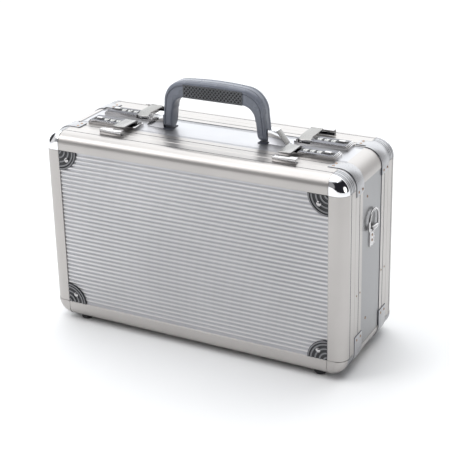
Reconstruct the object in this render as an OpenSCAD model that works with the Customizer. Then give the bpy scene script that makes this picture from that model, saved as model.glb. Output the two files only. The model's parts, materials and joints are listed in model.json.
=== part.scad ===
// Double-sided aluminium carry case: a centre body with a lid on its front and a lid on its rear.
// Both lids hinge at the bottom edge and latch at the top edge with combination latches.
// X is the width, Y the depth with the front at -Y, and Z is up from the underside of the feet.

/* [Case] */
// Overall width of the case
case_w = 430; // [400:1:460]
// Height of the case without its feet
case_h = 266; // [240:1:300]
// Overall depth, both lids closed
case_d = 168; // [160:1:200]
// Depth of one lid
lid_d = 31; // [30:0.5:33]
// Visible width of the lid frame around its panel, and the radius of the case's corners
frame_w = 23; // [22:0.5:28]
// Radius that rounds the lid frame from its face to its sides
edge_r = 15; // [12:0.5:16]
// Height of the feet
foot_h = 6; // [5.5:0.5:9]

/* [Lid panels] */
// Number of grooves between the ribs of a panel
groove_count = 38; // [20:1:44]
// Radius of a half-round groove
groove_r = 0.8; // [0.5:0.1:1.2]
// Depth of the panel's face behind the frame's face
panel_recess = 1.5; // [1:0.1:2.5]
// Radius of a quarter-round corner pad
pad_r = 27; // [24:1:36]

/* [Body] */
// Width of each rim band around the body
band_w = 22; // [18:0.5:24]
// Thickness of the divider between the two compartments
divider_t = 3; // [2:0.5:5]
// Thickness of the padded lining
liner_t = 2.6; // [2:0.2:3]

/* [Handle] */
// Outer width of the handle across its feet
handle_w = 151; // [140:1:156]
// Height of the handle above the case
handle_h = 70; // [66:1:80]
// Front to back thickness of the handle
handle_t = 21; // [18:0.5:24]
// Thickness of each leg
leg_t = 12.5; // [11:0.5:14]
// Height of the grip at its middle
grip_h = 24; // [20:0.5:26]

/* [Latches] */
// Inner end of each latch, from the middle of the case
latch_x = 105; // [105:0.5:107]
// Length of a latch base
latch_w = 73; // [73:0.5:76]
// Height of a latch base
latch_h = 5.6; // [5.4:0.1:6]
// Radius of a dial
dial_r = 3.5; // [3.3:0.05:3.55]
// Distance between dials
dial_pitch = 9.2; // [9:0.1:9.5]
// Travel of a release slider
slider_travel = 3; // [2:0.5:3]

/* [Hidden] */
$fn = 64;
half_w = case_w / 2;
half_d = case_d / 2;
half_h = case_h / 2;
z_mid = foot_h + half_h;
z_top = foot_h + case_h;
panel_hw = half_w - frame_w;
panel_hh = half_h - frame_w;
wall_t = 2;
lid_gap = 0.4;
lid_reach = lid_d - lid_gap;
part_y = half_d - lid_d;
panel_t = 2.4;
plate_t = 1.2;
cover = 1;

// Body section: distances are measured outward from the panel's edge, as on the lid frame
skin_t = 3;
ledge_t = 2.2;
tongue_t = 1.8;
tongue_h = 5;
sheet_sink = 0.6;
sheet_hy = part_y - band_w;

// Hinges at the bottom edge
hinge_x = 130;
hinge_len = 60;
hinge_knuckle = 24;
knuckle_r = 2.2;
pin_r = 1.2;
run_fit = 0.06;
hinge_z = foot_h - knuckle_r - 0.4;
leaf_w = 13;

// Corner brackets
pad_rivet = 12;
bracket_t = 1.2;
bracket_w = 22;
bracket_top_leg = 10;
bracket_low_leg = 21;
bracket_toe = 14;
bracket_toe_w = 17;
rivet_r = 2;
rivet_h = 0.9;

// Handle
pivot_z = z_top + 12;
handle_pin_r = 2.5;
crown_r = 460;
shoulder_r = 30;
inner_r = 18;
handle_hw = handle_w / 2;
crown_z = z_top + handle_h - crown_r;
handle_flare = 3.5;
shoulder_hw = handle_hw - handle_flare;
shoulder_x = shoulder_hw - shoulder_r;
shoulder_z = crown_z + sqrt(pow(crown_r - shoulder_r, 2) - pow(shoulder_x, 2));
grip_z = z_top + handle_h - grip_h;
insert_hw = 42.5;
insert_t = 2;
insert_sink = 1.4;
bracket_gap = 0.5;
wedge_l = 25;
wedge_top = 12;
wedge_h = 18;
wedge_d = 13;

// Latches, drawn for the front right corner
latch_y0 = 9;
latch_y1 = 31;
hasp_x0 = latch_x + 5.5;
hasp_x1 = latch_x + 22;
hasp_pin_y = 13;
hasp_pin_z = 4.2;
hasp_pin_r = 1;
hasp_barrel_r = 2.1;
hasp_y = 49;
hasp_z = 7.4;
hasp_t = 1.6;
ear_t = 2.4;
ear_h = 6.2;
seat_h = 3.4;
dial_x = latch_x + 39.7;
dial_y = 22;
dial_z = dial_r - sheet_sink + 0.15;
dial_w = 6.2;
axle_r = 1;
slider_x = latch_x + 55.6;
slider_l = 9;
slider_w = 4.4;
stem_x = 3;
stem_l = slider_l - 6;
slot_l = slider_l + slider_travel + 1;
keeper_x0 = latch_x + 3;
keeper_w = 32;
keeper_h = 7;
keeper_d = 8;

// Strap lugs and rings
lug_z = z_mid + 28;
lug_w = 15;
lug_l = 22;
ring_wire = 1.5;
ring_hw = 15;
ring_leg = 9;
ring_pivot_z = lug_z + lug_l / 2 + 3;
side_x = half_w - sheet_sink;
ring_x = side_x + 3.4;

// Feet
foot_x = 176;
foot_y = half_d - 14;
foot_r = 8;

// ---- Placing helpers ----

// Puts a shape drawn face down on the front of the case: x stays, y becomes height, z runs back from y0
module facing(y0) {
  translate([0, y0, z_mid]) mirror([0, 1, 0]) rotate([90, 0, 0]) children();
}

// A straight bar of a section (outward, back), drawn along x
module bar(length) {
  rotate([90, 0, 90]) linear_extrude(length, center = true) children();
}

// Places a bar on each of the four sides of the panel opening
module four_sides(hw, hh) {
  for (turn = [0, 180]) rotate([0, 0, turn]) {
    translate([0, hh, 0]) bar(2 * hw) children();
    rotate([0, 0, -90]) translate([0, hw, 0]) bar(2 * hh) children();
  }
}

// Quarter revolve of a section about the panel's corner on side sx, sz
module corner(sx, sz) {
  mirror([sx < 0 ? 1 : 0, 0, 0]) mirror([0, sz < 0 ? 1 : 0, 0])
    translate([panel_hw, panel_hh, 0]) rotate_extrude(angle = 90) children();
}

// Copies to the rear of the case
module rear() { mirror([0, 1, 0]) children(); }

// Left and right copies
module both_sides() {
  children();
  mirror([1, 0, 0]) children();
}

// Front and rear copies
module both_faces() {
  children();
  mirror([0, 1, 0]) children();
}

// Domed rivet head standing on z = 0
module dome(r, h) {
  cap_r = (r * r + h * h) / (2 * h);
  intersection() {
    translate([0, 0, h - cap_r]) sphere(cap_r);
    translate([-r, -r, 0]) cube([2 * r, 2 * r, h]);
  }
}

// ---- Lid ----

// Section of the lid frame: x outward from the panel's edge, y back from the face
module frame_section() {
  difference() {
    union() {
      square([frame_w - edge_r, wall_t]);
      translate([frame_w - wall_t, edge_r]) square([wall_t, lid_reach - edge_r]);
      intersection() {
        translate([frame_w - edge_r, edge_r]) difference() {
          circle(edge_r);
          circle(edge_r - wall_t);
        }
        translate([frame_w - edge_r, 0]) square([edge_r, edge_r]);
      }
      square([wall_t, panel_recess + panel_t]);
    }
    translate([frame_w - 0.4, edge_r + 1.5]) square([cover, 0.9]);
  }
}

module lid_frame() {
  color("gainsboro") facing(-half_d) four_sides(panel_hw, panel_hh) frame_section();
}

module lid_corners(sz, shade) {
  color(shade) facing(-half_d) for (sx = [-1, 1]) corner(sx, sz) frame_section();
}

module panel_section() {
  pitch = 2 * panel_hh / groove_count;
  difference() {
    translate([-panel_hh, panel_recess]) square([2 * panel_hh, panel_t]);
    for (i = [0 : groove_count - 1])
      translate([-panel_hh + (i + 0.5) * pitch, panel_recess]) circle(groove_r, $fn = 24);
  }
}

module lid_panel() {
  color("lightsteelblue") facing(-half_d) bar(2 * panel_hw) panel_section();
}

// One ridged quarter-round pad in the upper right corner of the panel
module pad() {
  pad_t = panel_recess + 0.6;
  ridge_pitch = 5.4;
  difference() {
    rotate([0, 0, 180]) rotate_extrude(angle = 90) difference() {
      translate([0, -0.6]) square([pad_r, pad_t]);
      for (i = [0 : 3]) translate([3.2 + i * ridge_pitch, -0.6 - cover]) square([2.6, cover + 0.9]);
    }
    translate([-pad_rivet, -pad_rivet, -cover]) cylinder(r = 3.8, h = pad_t + 2 * cover);
  }
  translate([-pad_rivet, -pad_rivet, -0.6]) cylinder(r = 3.8, h = pad_t);
}

module at_panel_corners() {
  for (sx = [0, 1]) for (sz = [0, 1])
    mirror([sx, 0, 0]) mirror([0, sz, 0]) translate([panel_hw, panel_hh, 0]) children();
}

module lid_pads() {
  color("dimgray") facing(-half_d) at_panel_corners() pad();
}

module lid_rivets() {
  color("silver") facing(-half_d) {
    at_panel_corners() translate([-pad_rivet, -pad_rivet, -0.6]) mirror([0, 0, 1]) dome(3, 1.1);
  }
  color("silver") both_sides() for (x = [keeper_x0 + 3, keeper_x0 + keeper_w - 3])
    translate([x, -part_y - 0.8 - keeper_d / 2, z_top + keeper_h]) dome(1.6, 0.7);
}

// Channels on the lid's top edge, open towards the body, that the hasps reach over
module lid_keepers() {
  color("silver") both_sides() translate([keeper_x0, -part_y - 0.8 - keeper_d, z_top])
    rotate([90, 0, 90]) linear_extrude(keeper_w) difference() {
      union() {
        translate([1.5, 0]) square([keeper_d - 1.5, keeper_h]);
        square([3, keeper_h - 1.5]);
        translate([1.5, keeper_h - 1.5]) circle(1.5);
      }
      translate([1.5, plate_t]) square([keeper_d, keeper_h - 2 * plate_t]);
    }
}

// Lining tray behind the panel
module lid_liner() {
  back = panel_recess + panel_t;
  color("darkslategray") facing(-half_d) difference() {
    translate([-panel_hw, -panel_hh, back]) cube([2 * panel_hw, 2 * panel_hh, 24]);
    translate([-panel_hw + liner_t, -panel_hh + liner_t, back + liner_t])
      cube([2 * (panel_hw - liner_t), 2 * (panel_hh - liner_t), 24]);
  }
}

// One hinge half at x = 0: the flat leaf and its knuckles, with the lid on the -y side
module hinge_leaf(lid) {
  side = lid ? -1 : 1;
  fit = lid ? run_fit : 0;
  edge = knuckle_r + 0.4;
  leaf_y = lid ? -part_y - edge - leaf_w : -part_y + edge;
  knuckles = lid ? [[-hinge_knuckle / 2 + 0.15, hinge_knuckle - 0.3]]
                 : [[-hinge_len / 2, (hinge_len - hinge_knuckle) / 2 - 0.15],
                    [hinge_knuckle / 2 + 0.15, (hinge_len - hinge_knuckle) / 2 - 0.15]];
  translate([-hinge_len / 2, leaf_y, foot_h - plate_t]) cube([hinge_len, leaf_w, plate_t]);
  for (k = knuckles) translate([k[0], -part_y, 0]) difference() {
    union() {
      translate([0, 0, hinge_z]) rotate([0, 90, 0]) cylinder(r = knuckle_r, h = k[1]);
      translate([0, side > 0 ? 0.6 : -edge - 0.5, foot_h - plate_t]) cube([k[1], edge - 0.1, plate_t]);
    }
    translate([-cover, 0, hinge_z]) rotate([0, 90, 0]) cylinder(r = pin_r + fit, h = k[1] + 2 * cover);
  }
}

module lid_hinges() {
  color("silver") for (x = [-hinge_x, hinge_x]) translate([x, 0, 0]) hinge_leaf(true);
}

module lid_feet() {
  color("dimgray") both_sides() translate([foot_x, -foot_y + 4, 0]) {
    cylinder(r1 = foot_r - 1, r2 = foot_r, h = 2);
    translate([0, 0, 2]) cylinder(r = foot_r, h = foot_h - 2);
  }
}

// ---- Body ----

// Section of the rim band with its closing tongue and the ledge that carries the panels
module band_section() {
  difference() {
    union() {
      translate([frame_w - skin_t, 0]) square([skin_t, band_w]);
      translate([frame_w - skin_t - ledge_t, 0]) square([ledge_t, band_w + 7]);
      translate([frame_w - skin_t - ledge_t, -tongue_h]) square([tongue_t, tongue_h]);
    }
    translate([frame_w - 0.5, 11.5]) square([cover, 1.2]);
  }
}

module body_bands() {
  color("lightgray") both_faces() facing(-part_y) {
    four_sides(panel_hw, panel_hh) band_section();
    for (sx = [-1, 1]) for (sz = [-1, 1]) corner(sx, sz) band_section();
  }
}

// Flat sheet between the two bands, with long grooves along x
module body_sheet(length, grooves) {
  difference() {
    translate([-length / 2, -sheet_hy, -skin_t]) cube([length, 2 * sheet_hy, skin_t - sheet_sink]);
    for (y = grooves) translate([-length / 2 - cover, y - 0.5, -sheet_sink - 0.4])
      cube([length + 2 * cover, 1, 1]);
  }
}

module top_panel() {
  color("whitesmoke") translate([0, 0, z_top]) body_sheet(2 * panel_hw, [-28, -25, 25, 28]);
}

module bottom_panel() {
  color("gray") translate([0, 0, foot_h]) mirror([0, 0, 1]) body_sheet(2 * panel_hw, []);
}

module side_panels() {
  color("lightsteelblue") both_sides() translate([half_w, 0, z_mid]) rotate([0, 90, 0])
    body_sheet(2 * panel_hh, []);
}

module corner_rails() {
  color("gainsboro") facing(-sheet_hy) for (sx = [-1, 1]) for (sz = [-1, 1]) corner(sx, sz)
    translate([frame_w - skin_t, 0]) square([skin_t, 2 * sheet_hy]);
}

// Bent strip over one corner of a band: a leg down the side and a short toe along the top
module corner_bracket(leg) {
  v0 = 1;
  translate([panel_hw, panel_hh, 0]) {
    rotate_extrude(angle = 90) translate([frame_w, v0]) square([bracket_t, bracket_w]);
    translate([frame_w, -leg, v0]) cube([bracket_t, leg, bracket_w]);
    translate([-bracket_toe, frame_w, v0]) cube([bracket_toe, bracket_t, bracket_toe_w]);
  }
}

// The left and right corners of both bands, at the top (sz 0) or the bottom (sz 1)
module at_band_corners(sz) {
  both_faces() facing(-part_y) for (sx = [0, 1]) mirror([sx, 0, 0]) mirror([0, sz, 0]) children();
}

module corner_brackets() {
  color("silver") {
    at_band_corners(0) corner_bracket(bracket_top_leg);
    at_band_corners(1) corner_bracket(bracket_low_leg);
  }
}

module bracket_rivets(drop) {
  proud = frame_w + bracket_t;
  translate([panel_hw, panel_hh, 0]) {
    for (v = [6, 18]) translate([proud, -drop, v]) rotate([0, 90, 0]) dome(rivet_r, rivet_h);
    for (v = [5, 14]) translate([-9, proud, v]) rotate([-90, 0, 0]) dome(rivet_r, rivet_h);
  }
}

module body_rivets() {
  color("silver") {
    at_band_corners(0) bracket_rivets(5);
    at_band_corners(1) bracket_rivets(16);
    both_sides() {
      for (z = [-78, 88]) translate([side_x, -15, z_mid + z]) rotate([0, 90, 0]) dome(rivet_r, rivet_h);
      both_faces() for (y = [36, 47]) translate([half_w, -y, z_mid - 33])
        rotate([0, 90, 0]) dome(1.5, 0.7);
      for (z = [-4, 3]) translate([side_x + 1.5, 0, lug_z + z]) rotate([0, 90, 0]) dome(rivet_r, rivet_h);
    }
  }
}

// Rectangle with the case's rounded corners, measured outward from the panel's edge
module case_outline(reach) {
  square([2 * (panel_hw + reach), 2 * panel_hh], center = true);
  square([2 * panel_hw, 2 * (panel_hh + reach)], center = true);
  for (x = [-panel_hw, panel_hw]) for (y = [-panel_hh, panel_hh]) translate([x, y]) circle(reach);
}

module divider() {
  color("dimgray") facing(-divider_t / 2) linear_extrude(divider_t) case_outline(frame_w - skin_t);
}

module compartment_liners() {
  outer = frame_w - skin_t - ledge_t - 0.1;
  color("darkslategray") both_faces() facing(-part_y + 1)
    linear_extrude(part_y - 1 - divider_t / 2) difference() {
      case_outline(outer);
      case_outline(outer - liner_t);
    }
}

module body_hinges() {
  color("silver") both_faces() for (x = [-hinge_x, hinge_x]) translate([x, 0, 0]) hinge_leaf(false);
}

module hinge_pins() {
  color("silver") both_faces() for (x = [-hinge_x, hinge_x])
    translate([x - hinge_len / 2, -part_y, hinge_z]) rotate([0, 90, 0]) cylinder(r = pin_r, h = hinge_len);
}

// ---- Handle ----

module handle_brackets() {
  color("silver") both_sides() difference() {
    translate([handle_hw + bracket_gap, wedge_d / 2, z_top]) rotate([90, 0, 0]) linear_extrude(wedge_d)
      polygon([[0, -sheet_sink], [wedge_l, -sheet_sink], [wedge_l, 1.5], [wedge_top, wedge_h], [0, wedge_h]]);
    translate([handle_hw, 0, pivot_z]) rotate([0, 90, 0]) cylinder(r = handle_pin_r, h = 9);
  }
}

module handle_pins() {
  color("silver") both_sides() translate([handle_hw - leg_t + 2, 0, pivot_z]) rotate([0, 90, 0])
    cylinder(r = handle_pin_r, h = leg_t + 7);
}

// Front view of the handle with a crowned top
module handle_outline() {
  opening_x = handle_hw - leg_t;
  inner_x = shoulder_hw - leg_t;
  bottom = pivot_z - handle_t / 2;
  blend_x = crown_r * shoulder_x / (crown_r - shoulder_r);
  difference() {
    union() {
      polygon([
        [-handle_hw, bottom], [handle_hw, bottom],
        [shoulder_hw, shoulder_z], [-shoulder_hw, shoulder_z]]);
      for (x = [-shoulder_x, shoulder_x]) translate([x, shoulder_z]) circle(shoulder_r);
      intersection() {
        translate([0, crown_z]) circle(crown_r, $fn = 256);
        translate([-blend_x, shoulder_z - 1]) square([2 * blend_x, shoulder_r + 20]);
      }
    }
    polygon([
      [-opening_x, bottom - cover], [opening_x, bottom - cover],
      [inner_x, grip_z - inner_r], [-inner_x, grip_z - inner_r]]);
    translate([-inner_x + inner_r, grip_z - inner_r - cover])
      square([2 * (inner_x - inner_r), inner_r + cover]);
    for (x = [-inner_x + inner_r, inner_x - inner_r]) translate([x, grip_z - inner_r]) circle(inner_r);
  }
}

module insert_outline() {
  translate([-insert_hw, grip_z + 0.8]) square([2 * insert_hw, grip_h - 6.5]);
}

module handle_bow() {
  color("slategray") difference() {
    intersection() {
      translate([0, handle_t / 2, 0]) rotate([90, 0, 0]) linear_extrude(handle_t) handle_outline();
      union() {
        translate([-handle_hw, -handle_t / 2, pivot_z]) cube([handle_w, handle_t, handle_h]);
        translate([-handle_hw, 0, pivot_z]) rotate([0, 90, 0]) cylinder(r = handle_t / 2, h = handle_w);
      }
    }
    both_sides() translate([handle_hw - leg_t - cover, 0, pivot_z]) rotate([0, 90, 0])
      cylinder(r = handle_pin_r + run_fit, h = leg_t + 2 * cover);
    both_faces() translate([0, -handle_t / 2 + insert_sink, 0]) rotate([90, 0, 0])
      linear_extrude(insert_sink + cover) insert_outline();
  }
}

module handle_grips() {
  color("black") both_faces() translate([0, -handle_t / 2 + insert_sink, 0]) rotate([90, 0, 0])
    linear_extrude(insert_t) insert_outline();
}

// ---- Latches ----

// Puts a front right latch piece at side sx (-1 left, 1 right) and face sy (-1 front, 1 rear)
module latch_at(sx, sy) {
  mirror([sx < 0 ? 1 : 0, 0, 0]) mirror([0, sy > 0 ? 1 : 0, 0]) translate([0, 0, z_top]) children();
}

module latch_base() {
  low_w = hasp_x1 + 0.8 - latch_x;
  depth = latch_y1 - latch_y0;
  well_l = 3 * dial_pitch;
  difference() {
    union() {
      translate([latch_x, -latch_y1, -sheet_sink]) cube([low_w, depth, seat_h + sheet_sink]);
      translate([latch_x, -latch_y0, 0]) rotate([90, 0, 0]) linear_extrude(depth) polygon([
        [low_w, -sheet_sink], [latch_w, -sheet_sink], [latch_w, latch_h - 3], [latch_w - 3, latch_h],
        [low_w + 1.2, latch_h], [low_w, latch_h - 1.2]]);
      for (x = [hasp_x0 - 0.4 - ear_t, hasp_x1 + 0.4]) translate([x, -latch_y0 - 8, 0])
        cube([ear_t, 8, ear_h]);
    }
    translate([hasp_x0 - 0.4, -latch_y0 - 7.5, hasp_pin_z - 2.9])
      cube([hasp_x1 - hasp_x0 + 0.8, 7.5 + cover, latch_h]);
    translate([hasp_x0 - ear_t - cover, -hasp_pin_y, hasp_pin_z]) rotate([0, 90, 0])
      cylinder(r = hasp_pin_r, h = hasp_x1 - hasp_x0 + 2 * ear_t + cover);
    translate([dial_x - well_l / 2, -dial_y - 5, -cover]) cube([well_l, 10, latch_h - 1.4 + cover]);
    for (i = [-1 : 1]) translate([dial_x + i * dial_pitch - 3.4, -dial_y - 3.9, 0])
      cube([6.8, 7.8, latch_h + cover]);
    translate([dial_x - well_l / 2 - 2, -dial_y, dial_z]) rotate([0, 90, 0])
      cylinder(r = axle_r, h = well_l + 4);
    translate([slider_x - 0.5, -dial_y - 4.4, latch_h - 1.8]) cube([slot_l, 8.8, 1.8 + cover]);
    translate([slider_x + stem_x - 0.4, -dial_y - 1.7, -cover])
      cube([stem_l + slider_travel + 0.8, 3.4, latch_h + cover]);
    for (i = [0 : 2])
      translate([latch_x + latch_w - 3.9 + i * 1.3, -latch_y1 - cover, latch_h - 0.8 - i * 1.2])
        cube([0.6, depth + 2 * cover, 4]);
  }
}

module latch_bases() {
  color("silver") for (sx = [-1, 1]) for (sy = [-1, 1]) latch_at(sx, sy) latch_base();
}

module latch_pins() {
  well_l = 3 * dial_pitch;
  color("gray") for (sx = [-1, 1]) for (sy = [-1, 1]) latch_at(sx, sy) {
    translate([dial_x - well_l / 2 - 2, -dial_y, dial_z]) rotate([0, 90, 0])
      cylinder(r = axle_r, h = well_l + 4);
    translate([hasp_x0 - ear_t, -hasp_pin_y, hasp_pin_z]) rotate([0, 90, 0])
      cylinder(r = hasp_pin_r, h = hasp_x1 - hasp_x0 + 2 * ear_t);
  }
}

// Cranked plate with a barrel round its pin and a rolled lip over the keeper
module hasp(sx, sy) {
  top = hasp_z + hasp_t;
  color("lightgray") latch_at(sx, sy) difference() {
    translate([hasp_x0, 0, 0]) union() {
      translate([0, -hasp_pin_y, hasp_pin_z]) rotate([0, 90, 0])
        cylinder(r = hasp_barrel_r, h = hasp_x1 - hasp_x0);
      rotate([90, 0, 90]) linear_extrude(hasp_x1 - hasp_x0) {
        polygon([
          [-hasp_pin_y + 0.8, hasp_pin_z + 1.6], [-hasp_pin_y - 5.5, top], [-hasp_y, top],
          [-hasp_y, hasp_z], [-hasp_pin_y - 6.2, hasp_z], [-hasp_pin_y - 1.2, hasp_pin_z + 1]]);
        translate([-hasp_y, hasp_z + 1.2]) circle(1.2);
      }
    }
    translate([hasp_x0 - cover, -hasp_pin_y, hasp_pin_z]) rotate([0, 90, 0])
      cylinder(r = hasp_pin_r + run_fit, h = hasp_x1 - hasp_x0 + 2 * cover);
  }
}

module slider(sx, sy) {
  color("silver") latch_at(sx, sy) translate([slider_x, -dial_y, 0]) {
    translate([0, slider_w / 2, 0]) rotate([90, 0, 0]) linear_extrude(slider_w) {
      translate([0, latch_h - 1.6]) square([slider_l, 2.6]);
      translate([1, latch_h]) square([slider_l - 2, 2]);
      for (x = [1, slider_l - 1]) translate([x, latch_h + 1]) circle(1);
    }
    translate([stem_x, -1.5, 0.5]) cube([stem_l, 3, latch_h - 0.5]);
  }
}

// Dial number index (1 to 3) with ten finger notches along one rim
module dial(sx, sy, index) {
  color("gainsboro") latch_at(sx, sy)
    translate([dial_x + (index - 2) * dial_pitch, -dial_y, dial_z]) rotate([0, 90, 0]) difference() {
      cylinder(r = dial_r, h = dial_w, center = true);
      cylinder(r = axle_r + run_fit, h = dial_w + cover, center = true);
      for (i = [0 : 9]) rotate([0, 0, 36 * i + 18]) translate([dial_r + 0.1, 0, dial_w / 2 - 1.5])
        cylinder(r = 0.6, h = 2, $fn = 16);
    }
}

// ---- Strap lugs and rings ----

module strap_lugs() {
  color("silver") both_sides() difference() {
    union() {
      translate([side_x, -lug_w / 2, lug_z - lug_l / 2]) cube([1.5, lug_w, lug_l]);
      translate([side_x, -lug_w / 2, ring_pivot_z - 3.4]) cube([3.4, lug_w, 3.4]);
      translate([ring_x, -lug_w / 2, ring_pivot_z]) rotate([-90, 0, 0]) cylinder(r = 3.2, h = lug_w);
    }
    translate([ring_x, -lug_w / 2 - cover, ring_pivot_z]) rotate([-90, 0, 0])
      cylinder(r = ring_wire + run_fit, h = lug_w + 2 * cover);
  }
}

// D ring standing up from the lug on side sx
module strap_ring(sx) {
  color("silver") mirror([sx < 0 ? 1 : 0, 0, 0]) translate([ring_x, 0, ring_pivot_z]) {
    translate([0, -ring_hw, 0]) rotate([-90, 0, 0]) cylinder(r = ring_wire, h = 2 * ring_hw);
    for (y = [-ring_hw, ring_hw]) translate([0, y, 0]) {
      sphere(ring_wire);
      cylinder(r = ring_wire, h = ring_leg);
    }
    translate([0, 0, ring_leg]) rotate([90, 0, 90]) rotate_extrude(angle = 180)
      translate([ring_hw, 0]) circle(ring_wire);
  }
}

// ---- Nodes ----

lid_frame();  // front_lid_frame
lid_panel();  // front_lid_panel
lid_corners(1, "white");  // front_lid_top_corners
lid_corners(-1, "gainsboro");  // front_lid_bottom_corners
lid_pads();  // front_lid_pads
lid_rivets();  // front_lid_rivets
lid_keepers();  // front_lid_keepers
lid_liner();  // front_lid_liner
lid_hinges();  // front_lid_hinges
lid_feet();  // front_lid_feet
rear() lid_frame();  // rear_lid_frame
rear() lid_panel();  // rear_lid_panel
rear() lid_corners(1, "white");  // rear_lid_top_corners
rear() lid_corners(-1, "gainsboro");  // rear_lid_bottom_corners
rear() lid_pads();  // rear_lid_pads
rear() lid_rivets();  // rear_lid_rivets
rear() lid_keepers();  // rear_lid_keepers
rear() lid_liner();  // rear_lid_liner
rear() lid_hinges();  // rear_lid_hinges
rear() lid_feet();  // rear_lid_feet
body_bands();
top_panel();
bottom_panel();
side_panels();
corner_rails();
corner_brackets();
body_rivets();
divider();
compartment_liners();
body_hinges();
hinge_pins();
handle_brackets();
handle_pins();
strap_lugs();
latch_bases();
latch_pins();
handle_bow();
handle_grips();
strap_ring(-1);  // left_ring
strap_ring(1);  // right_ring
hasp(-1, -1);  // front_left_hasp
slider(-1, -1);  // front_left_slider
dial(-1, -1, 1);  // front_left_dial_1
dial(-1, -1, 2);  // front_left_dial_2
dial(-1, -1, 3);  // front_left_dial_3
hasp(1, -1);  // front_right_hasp
slider(1, -1);  // front_right_slider
dial(1, -1, 1);  // front_right_dial_1
dial(1, -1, 2);  // front_right_dial_2
dial(1, -1, 3);  // front_right_dial_3
hasp(-1, 1);  // rear_left_hasp
slider(-1, 1);  // rear_left_slider
dial(-1, 1, 1);  // rear_left_dial_1
dial(-1, 1, 2);  // rear_left_dial_2
dial(-1, 1, 3);  // rear_left_dial_3
hasp(1, 1);  // rear_right_hasp
slider(1, 1);  // rear_right_slider
dial(1, 1, 1);  // rear_right_dial_1
dial(1, 1, 2);  // rear_right_dial_2
dial(1, 1, 3);  // rear_right_dial_3
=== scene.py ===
"""Looks of the double-sided aluminium carry case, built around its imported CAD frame."""
import json
import math

import bpy
import bmesh
from mathutils import Matrix, Vector


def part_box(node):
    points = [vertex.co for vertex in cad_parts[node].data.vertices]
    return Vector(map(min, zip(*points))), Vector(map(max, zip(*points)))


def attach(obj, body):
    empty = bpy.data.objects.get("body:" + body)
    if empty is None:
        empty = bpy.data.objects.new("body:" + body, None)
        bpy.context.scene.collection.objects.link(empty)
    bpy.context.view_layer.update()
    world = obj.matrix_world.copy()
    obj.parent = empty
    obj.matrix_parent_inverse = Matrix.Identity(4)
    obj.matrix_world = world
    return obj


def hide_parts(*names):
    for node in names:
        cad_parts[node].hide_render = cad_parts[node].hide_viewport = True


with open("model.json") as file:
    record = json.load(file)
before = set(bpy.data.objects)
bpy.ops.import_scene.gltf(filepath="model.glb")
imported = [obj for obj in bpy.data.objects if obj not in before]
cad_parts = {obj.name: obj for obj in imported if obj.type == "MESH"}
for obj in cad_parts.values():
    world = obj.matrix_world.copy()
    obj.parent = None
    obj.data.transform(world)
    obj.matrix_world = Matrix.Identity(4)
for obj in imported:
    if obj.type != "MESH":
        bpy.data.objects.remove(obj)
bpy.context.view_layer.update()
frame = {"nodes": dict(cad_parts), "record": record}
NODE_BODY = {n: b for b, ns in frame["record"]["behaviour"]["bodies"].items() for n in ns}
NODE_SLOT = {s["node"]: s["material_slot"] for s in frame["record"]["subparts"]}
MM = 0.001
LIDS = (("front", -1), ("rear", 1))  # each lid, and the way it faces along y

# ---- Places, in millimetres, read from the frame ----

panel_lo, panel_hi = (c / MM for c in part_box("front_lid_panel"))
frame_lo, frame_hi = (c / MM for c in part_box("front_lid_frame"))
HALF_W = frame_hi.x
HALF_D = -frame_lo.y
Z_MID = (frame_lo.z + frame_hi.z) / 2
Z_TOP = frame_hi.z
PANEL_W = panel_hi.x
PANEL_H = panel_hi.z - Z_MID
RIM = HALF_W - PANEL_W
LID_REACH = frame_hi.y - frame_lo.y
LID_GAP = 0.4
PART_Y = HALF_D - LID_REACH - LID_GAP
PANEL_RECESS = panel_lo.y + HALF_D
PANEL_T = panel_hi.y - panel_lo.y
EDGE_R = 15.0
NOSE_R = 0.7
WALL = 2.0
BAND_W = PART_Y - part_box("top_panel")[1].y / MM
SKIN = 3.0
LEDGE = 2.2
TONGUE = 5.0
GROOVES = 38
PAD_R = 27.0
SEAM = 0.5
GROOVE_W = 1.2
GROOVE_DEPTH = 0.6
SIDE_GROOVE = EDGE_R + 1.5
BAND_GROOVE = 11.5
CAP_EDGE = 12.4
COLLAR_LINES = (13.0, SIDE_GROOVE, 21.5, 25.0)
COLLAR_LINE_W = 0.8
COLLAR_LINE_DEPTH = 0.5
RIB_CROWN = 0.2
RIB_DEPTH = 0.65
BASE_TOP = Z_TOP + 5.6

handle_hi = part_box("handle_bow")[1] / MM
HANDLE_W = handle_hi.x
HANDLE_T = handle_hi.y
HANDLE_TOP = handle_hi.z
PIVOT_Z = Z_TOP + 12.0
CROWN_R = 460.0
SHOULDER_R = 30.0
INNER_R = 18.0
LEG = 12.5
GRIP = 24.0
FLARE = 3.5


# ---- Materials ----

EVEN = (1, 1, 1)  # grain alike along every axis
BRUSHED = (0.03, 1, 1)  # grain drawn out along the case's width
NOISE_LOW, NOISE_HIGH = 0.3, 0.7  # most of a noise lies between these


def new_material(name, colour, metallic, roughness):
    """A Principled material with its plain values on the shader's own sockets."""
    mat = bpy.data.materials.new(name)
    mat.use_nodes = True
    shader = mat.node_tree.nodes["Principled BSDF"]
    shader.inputs["Base Color"].default_value = (*colour, 1.0)
    shader.inputs["Metallic"].default_value = metallic
    shader.inputs["Roughness"].default_value = roughness
    return mat, shader


def noise_at(mat, stretch, scale, detail=3.0):
    """Noise in the object's own coordinates, scaled by a factor along each axis."""
    nodes, links = mat.node_tree.nodes, mat.node_tree.links
    coord = nodes.new("ShaderNodeTexCoord")
    mapping = nodes.new("ShaderNodeMapping")
    mapping.inputs["Scale"].default_value = stretch
    noise = nodes.new("ShaderNodeTexNoise")
    noise.inputs["Scale"].default_value = scale
    noise.inputs["Detail"].default_value = detail
    links.new(coord.outputs["Object"], mapping.inputs["Vector"])
    links.new(mapping.outputs["Vector"], noise.inputs["Vector"])
    return noise.outputs["Fac"]


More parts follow.
